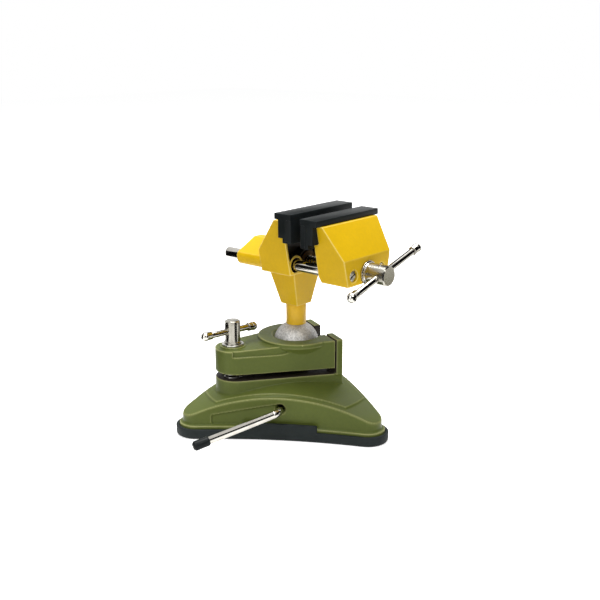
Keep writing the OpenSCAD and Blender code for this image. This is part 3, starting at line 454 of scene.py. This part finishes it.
foot = cast_soft("base_casting", "foot_casting", olive_enamel, 0.0007, 9, 0.42)
# The clamp block's top, the posts' faces and the notch walls get the painted shade.
paint_shade_on(foot, is_clamp_face)
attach(foot, "base")

# Suction lever
# A bright plated steel rod, bent where it leaves the foot, with a crank inside that pulls the pad up.
# A plastic grip is pushed on its end, and a clip behind the bearing keeps it in.

# Plated metal: faint cloudiness, rub marks and hairline scratches
plated, enter, leave = group_with(
    "plated_metal",
    [("Bright", "NodeSocketColor", (0.8, 0.8, 0.8, 1)), ("Dull", "NodeSocketColor", (0.6, 0.6, 0.6, 1)),
     ("Shine", "NodeSocketFloat", 0.1), ("Scratches", "NodeSocketFloat", 0.05),
     ("Speckle", "NodeSocketFloat", 120.0)],
    [("Color", "NodeSocketColor"), ("Roughness", "NodeSocketFloat"), ("Normal", "NodeSocketVector")])
place = plated.nodes.new("ShaderNodeTexCoord").outputs["Object"]
clouds = noise_at(plated, place, enter.outputs["Speckle"], 4.0)
rubs = noise_at(plated, place, 1500.0)
dullness = ranged(plated, clouds, 0.35, 0.75, 0.0, 1.0)
plate_colour = mixed(plated, dullness, enter.outputs["Bright"], enter.outputs["Dull"])
plated.links.new(plate_colour, leave.inputs["Color"])
high_shine = shifted(plated, enter.outputs["Shine"], 0.10)
shine = ranged(plated, clouds, 0.3, 0.8, enter.outputs["Shine"], high_shine)
plated.links.new(shine, leave.inputs["Roughness"])
plated.links.new(bumped(plated, rubs, enter.outputs["Scratches"], 0.0001), leave.inputs["Normal"])

chrome = faced("bright_plate", plated, {
    "Bright": (0.57, 0.55, 0.50, 1), "Dull": (0.42, 0.40, 0.36, 1), "Shine": 0.03, "Scratches": 0.05},
    Metallic=1.0)
zinc = faced("zinc_plate", plated, {
    "Bright": (0.62, 0.61, 0.57, 1), "Dull": (0.42, 0.41, 0.38, 1), "Shine": 0.24, "Scratches": 0.2},
    Metallic=1.0)
black_plastic = faced("satin_black_plastic", moulded, {
    "Black": (0.007, 0.009, 0.009, 1), "Bloom": (0.012, 0.015, 0.016, 1), "Shine": 0.40, "Grain": 0.12},
    Specular_IOR_Level=0.10)
lever = softened("vacuum_lever", "suction_lever", chrome, 0.0003)
grip = softened("lever_grip", "lever_handle", black_plastic, 0.0005)
clip = softened("lever_clip", "lever_retainer", zinc, 0.0002)
for piece, finish in ((lever, "chrome"), (grip, "grip_plastic"), (clip, "zinc_steel")):
    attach(piece, "lever")

# Pad lifter
# A zinc-plated steel stud on a disc, inside the foot.
# The lever's crank runs in the stud's eye and pulls both up, with the middle of the pad.
stud = softened("pull_stud", "lift_stud", zinc, 0.0002)
disc = softened("pad_plate", "lift_disc", zinc, 0.0002)
for piece in (stud, disc):
    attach(piece, "pull")

# Clamp plate
# The upper half of the ball clamp, a horseshoe casting in the same olive enamel with a near-black painted
# shade on its underside.
# Its two tongues rock in the posts, and the clamp screw pulls it down on the ball.
plate = cast_soft("clamp_plate", "clamp_casting", olive_enamel, 0.0005, 9, 0.6)
underside_z = min(corner[2] for corner in plate.bound_box) + 0.0008
# The plate's underside and notch walls get the painted shade.
paint_shade_on(plate, lambda face: is_notch_wall(face) or face.normal.z < -0.6 and face.center.z < underside_z)
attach(plate, "plate")

# Clamp screw
# A turned steel screw, satin plated, with a washer under its head and a bright cross bar that slides in it.
# A coil spring of drawn wire, round the screw and under the plate, opens the clamp.
satin = faced("satin_plate", plated, {
    "Bright": (0.43, 0.415, 0.36, 1), "Dull": (0.30, 0.285, 0.245, 1), "Shine": 0.16, "Scratches": 0.08},
    Metallic=1.0)
spring_steel = faced("spring_wire", plated, {
    "Bright": (0.46, 0.45, 0.42, 1), "Dull": (0.28, 0.27, 0.25, 1), "Shine": 0.3, "Scratches": 0.2},
    Metallic=1.0)
for node, name, body, finish, material in (
        ("clamp_washer", "clamp_washer_ring", "washer", "zinc_steel", zinc),
        ("clamp_screw", "clamp_screw_turned", "clamp_screw_body", "chrome", satin),
        ("clamp_bar", "clamp_cross_bar", "clamp_bar_body", "chrome", chrome),
        ("clamp_bar_ends", "clamp_bar_knobs", "clamp_bar_body", "chrome", chrome)):
    piece = softened(node, name, material, 0.0003)
    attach(piece, body)

wire_r = 0.0008
wire_sides = 10
coil_r = 0.0076
coil_turns = 3.5
coil_steps = 24
# The solid's wire has six sides with one on top, so it is a little less high than round wire
solid_wire_r = wire_r * math.sin(math.radians(60))
spring_low, spring_high = (Vector(nodes["lift_spring"].bound_box[corner]) for corner in (0, 6))
coil_foot = (spring_low + spring_high) / 2
coil_foot.z = spring_low.z + solid_wire_r
coil_rise = spring_high.z - spring_low.z - 2 * solid_wire_r
coil_start = Matrix.Rotation(clamp_turn, 3, "Z")
wire_angles = [math.tau * k / wire_sides for k in range(wire_sides)]
bm = bmesh.new()
wire_ring = [bm.verts.new(coil_foot + coil_start @ Vector((
    coil_r + wire_r * math.cos(angle), 0.0, wire_r * math.sin(angle)))) for angle in wire_angles]
wire_edges = [bm.edges.new((wire_ring[k - 1], wire_ring[k])) for k in range(wire_sides)]
wire_end = bmesh.ops.spin(bm, geom=wire_edges, cent=coil_foot, axis=(0, 0, 1),
                          dvec=(0, 0, coil_rise / (coil_turns * coil_steps)), angle=math.tau * coil_turns,
                          steps=int(coil_turns * coil_steps))
bm.faces.new(wire_ring)
bm.faces.new([v for v in wire_end["geom_last"] if isinstance(v, bmesh.types.BMVert)])
bmesh.ops.recalc_face_normals(bm, faces=bm.faces)
spring = stand_for("lift_spring", bm, "lift_spring_wire", spring_steel)
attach(spring, "base")

# Ball
# A turned and blasted light-metal ball, left bare.
# It sits in the foot's cup, and the clamp plate holds it down.
ball_metal = faced("blasted_metal", plated, {
    "Bright": (0.62, 0.61, 0.59, 1), "Dull": (0.30, 0.295, 0.285, 1), "Shine": 0.50, "Scratches": 1.0,
    "Speckle": 750.0}, Metallic=0.8)
ball_materials = nodes["swivel_ball"].data.materials
ball_materials.clear()
ball_materials.append(ball_metal)

# Neck and jaws
# Light-alloy castings in yellow enamel. The rear jaw's pocket carries a near-black painted shade, and the
# front jaw rides on the rods.
# The neck is a turned pin, fixed in the ball and in the rear jaw's post.
# The darker colour is painted shade for the hollows, the lighter one a painted highlight for the edges.
yellow_enamel = faced("yellow_enamel", enamel, {
    "Paint": (0.68, 0.42, 0.002, 1), "Hollows": (0.44, 0.23, 0.004, 1), "Edges": (0.87, 0.69, 0.19, 1),
    "Peel": 0.10, "Shine": 0.34}, Specular_IOR_Level=0.14, Coat_Weight=0.06, Coat_Roughness=0.12)
# The darker colour is painted shade for the hollows, the lighter one a painted highlight for the edges.
pin_enamel = faced("yellow_pin_enamel", enamel, {
    "Paint": (0.78, 0.45, 0.008, 1), "Hollows": (0.44, 0.23, 0.004, 1), "Edges": (0.82, 0.50, 0.03, 1),
    "Peel": 0.10, "Shine": 0.30}, Specular_IOR_Level=0.25, Coat_Weight=0.10, Coat_Roughness=0.12)
neck = softened("neck_post", "neck_pin", pin_enamel, 0.0004)
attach(neck, "neck")

pocket_foot, pocket_top = 0.1418, 0.1712
pocket_mouth, pocket_floor = -0.0165, -0.0040
pocket_half_w = 0.0249
pocket_half_w_z = 0.140
pocket_flare = 0.2126


def is_pocket(face):
    """A face inside the rear jaw's pocket, which widens upwards."""
    x, y, z = face.center
    in_width = abs(x) < pocket_half_w + pocket_flare * (z - pocket_half_w_z)
    return in_width and pocket_mouth < y < pocket_floor and pocket_foot < z < pocket_top


rear_jaw = cast_soft("fixed_jaw", "rear_jaw_casting", yellow_enamel, 0.00045, 6, 0.5)
# The pocket's faces get the painted shade.
paint_shade_on(rear_jaw, is_pocket)
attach(rear_jaw, "head")
front_jaw = cast_soft("movable_jaw", "front_jaw_casting", yellow_enamel, 0.00045, 6, 0.5)
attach(front_jaw, "slide_jaw")

# Jaw caps
# Black plastic sleeves pushed over the jaws, with a flange on top and a step below.
# Each is one moulding, and its edges are a little round.
for node, name, body in (("rear_jaw_cap", "rear_cap", "head"), ("front_jaw_cap", "front_cap", "slide_jaw")):
    cap = softened(node, name, black_plastic, 0.0006, 3)
    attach(cap, body)

# Rods and cross bar
# Two ground and plated steel rods, screwed to the front jaw, slide in bronze bushes in the rear jaw.
# The spindle's nut is bronze too. Its washer, clip and cross bar are plated, and a steel ball, coloured dark
# as a painted reflection of dark surroundings, brakes the bar.
bronze = faced("oiled_bronze", plated, {
    "Bright": (0.12, 0.072, 0.03, 1), "Dull": (0.06, 0.036, 0.016, 1), "Shine": 0.40, "Scratches": 0.2},
    Metallic=1.0)
# The detent ball's steel is darkened as a painted reflection of dark surroundings.
steel_painted_dark_reflection = faced("steel_painted_dark_reflection", plated, {
    "Bright": (0.15, 0.145, 0.14, 1), "Dull": (0.08, 0.078, 0.075, 1), "Shine": 0.15, "Scratches": 0.1},
    Metallic=1.0)
for node, name, body, finish, material in (
        ("spindle_nut", "spindle_nut_turned", "head", "bronze", bronze),
        ("rod_bushes", "rod_bush_rings", "head", "bronze", bronze),
        ("guide_rod_left", "left_rod", "slide_jaw", "chrome", chrome),
        ("guide_rod_right", "right_rod", "slide_jaw", "chrome", chrome),
        ("rod_screws", "rod_end_screws", "slide_jaw", "zinc_steel", zinc),
        ("spindle_washer", "spindle_thrust_washer", "slide_jaw", "chrome", chrome),
        ("spindle_retainer", "spindle_clip", "spindle_body", "zinc_steel", zinc),
        ("spindle_detent", "bar_detent", "spindle_body", "spring_steel", steel_painted_dark_reflection),
        ("spindle_bar", "spindle_cross_bar", "spindle_bar_body", "chrome", chrome),
        ("spindle_bar_ends", "spindle_bar_knobs", "spindle_bar_body", "chrome", chrome)):
    piece = softened(node, name, material, 0.0003)
    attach(piece, body)

# Spindle
# A turned steel screw, satin plated, with a round head that is drilled for the cross bar.
# Its shank is cut with a right-hand thread of 3 mm pitch, from the rear end to the front jaw.
thread_crest, thread_root, thread_pitch = 0.00495, 0.0043, 0.003
thread_end_y = -0.044
thread_steps = 24
crest_half_w, root_half_w = 0.0004, 0.00105
flank_r = thread_root - 0.0001
largest_shank_r = 0.00505
shank_end_y = thread_end_y - thread_pitch - 0.001
spindle_low, spindle_high = (Vector(nodes["spindle"].bound_box[corner]) for corner in (0, 6))
spindle_z = (spindle_low.z + spindle_high.z) / 2
bm = casting_of("spindle")
for vert in bm.verts:
    out_from_axis = math.hypot(vert.co.x, vert.co.z - spindle_z)
    if thread_crest < out_from_axis < largest_shank_r and vert.co.y > shank_end_y:
        vert.co.x *= thread_root / out_from_axis
        vert.co.z = spindle_z + (vert.co.z - spindle_z) * thread_root / out_from_axis
thread_start = Vector((0, spindle_high.y - thread_pitch, spindle_z))
thread_turns = int((thread_start.y - thread_end_y) / thread_pitch)
flank = [bm.verts.new(thread_start + Vector((out, along, 0))) for out, along in (
    (flank_r, -root_half_w), (thread_crest, -crest_half_w),
    (thread_crest, crest_half_w), (flank_r, root_half_w))]
flank_edges = [bm.edges.new((flank[k - 1], flank[k])) for k in range(4)]
thread = bmesh.ops.spin(bm, geom=flank_edges, cent=thread_start, axis=(0, -1, 0),
                        dvec=(0, -thread_pitch / thread_steps, 0), angle=math.tau * thread_turns,
                        steps=thread_steps * thread_turns)
bm.faces.new(flank)
bm.faces.new([v for v in thread["geom_last"] if isinstance(v, bmesh.types.BMVert)])
bmesh.ops.recalc_face_normals(bm, faces=bm.faces)
spindle = stand_for("spindle", bm, "spindle_screw", satin)
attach(spindle, "spindle_body")
